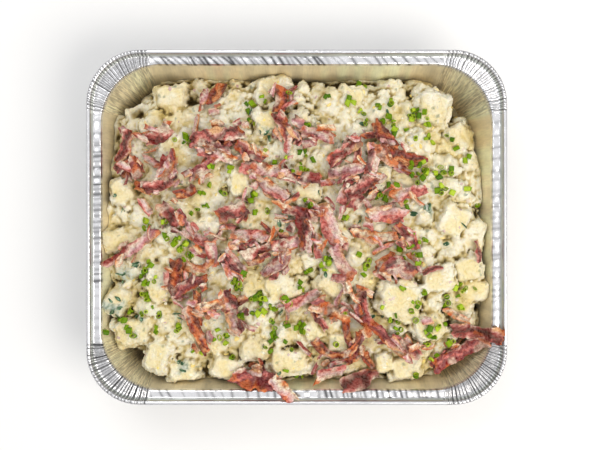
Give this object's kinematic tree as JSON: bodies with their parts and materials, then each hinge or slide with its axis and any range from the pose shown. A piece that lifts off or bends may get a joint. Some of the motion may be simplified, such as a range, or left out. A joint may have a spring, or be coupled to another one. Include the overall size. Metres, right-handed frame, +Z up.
{
  "type": "potato salad",
  "caption": "Creamy potato salad heaped in a rectangular foil catering tray with a crimped rolled rim, topped with fried bacon strips and chopped chives.",
  "frame": {"origin": "centre of the tray's flat base", "axes": "+X along the tray's long side, +Y across it towards the side where the salad lies lowest, +Z up"},
  "size_m": [0.32, 0.27, 0.0707],
  "materials": {
    "foil": "bright thin foil, crimped at the rim",
    "salad": "boiled potato in a creamy dressing, with chopped chives",
    "bacon": "fried bacon, lean and fat, crisp at its edges"
  },
  "bodies": {
    "root": {"foil_tray": "foil", "potato_salad": "salad", "bacon_01": "bacon", "bacon_02": "bacon", "bacon_03": "bacon", "bacon_04": "bacon", "bacon_05": "bacon", "bacon_06": "bacon", "bacon_07": "bacon", "bacon_08": "bacon", "bacon_09": "bacon", "bacon_10": "bacon", "bacon_11": "bacon", "bacon_12": "bacon", "bacon_13": "bacon", "bacon_14": "bacon", "bacon_15": "bacon", "bacon_16": "bacon", "bacon_17": "bacon", "bacon_18": "bacon", "bacon_19": "bacon", "bacon_20": "bacon", "bacon_21": "bacon", "bacon_22": "bacon", "bacon_23": "bacon", "bacon_24": "bacon", "bacon_25": "bacon", "bacon_26": "bacon", "bacon_27": "bacon", "bacon_28": "bacon", "bacon_29": "bacon", "bacon_30": "bacon", "bacon_31": "bacon", "bacon_32": "bacon", "bacon_33": "bacon", "bacon_34": "bacon", "bacon_35": "bacon", "bacon_36": "bacon", "bacon_37": "bacon", "bacon_38": "bacon", "bacon_39": "bacon", "bacon_40": "bacon", "bacon_41": "bacon", "bacon_42": "bacon", "bacon_43": "bacon", "bacon_44": "bacon", "bacon_45": "bacon", "bacon_46": "bacon", "bacon_47": "bacon", "bacon_48": "bacon", "bacon_49": "bacon", "bacon_50": "bacon", "bacon_51": "bacon", "bacon_52": "bacon", "bacon_53": "bacon", "bacon_54": "bacon", "bacon_55": "bacon", "bacon_56": "bacon", "bacon_57": "bacon", "bacon_58": "bacon"}
  },
  "joints": []
}
